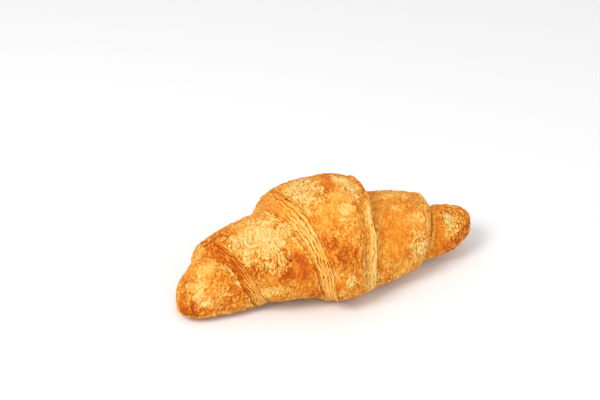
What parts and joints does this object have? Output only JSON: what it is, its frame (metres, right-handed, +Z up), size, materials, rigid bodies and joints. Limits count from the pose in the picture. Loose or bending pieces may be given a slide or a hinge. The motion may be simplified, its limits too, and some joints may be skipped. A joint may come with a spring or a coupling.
{
  "type": "croissant",
  "caption": "Baked butter croissant, nearly straight, rolled from laminated dough, with a high middle, stepped shoulders and blunt tips, resting on its flat base.",
  "frame": {"origin": "middle of the flat base the croissant rests on", "axes": "+X from tip to tip, towards the narrower tip; +Z up, through the highest part of the middle; -Y is the front of the roll"},
  "size_m": [0.1689, 0.0763, 0.058],
  "materials": {
    "crust": "satin"
  },
  "bodies": {
    "root": {"croissant": "crust"}
  },
  "joints": []
}
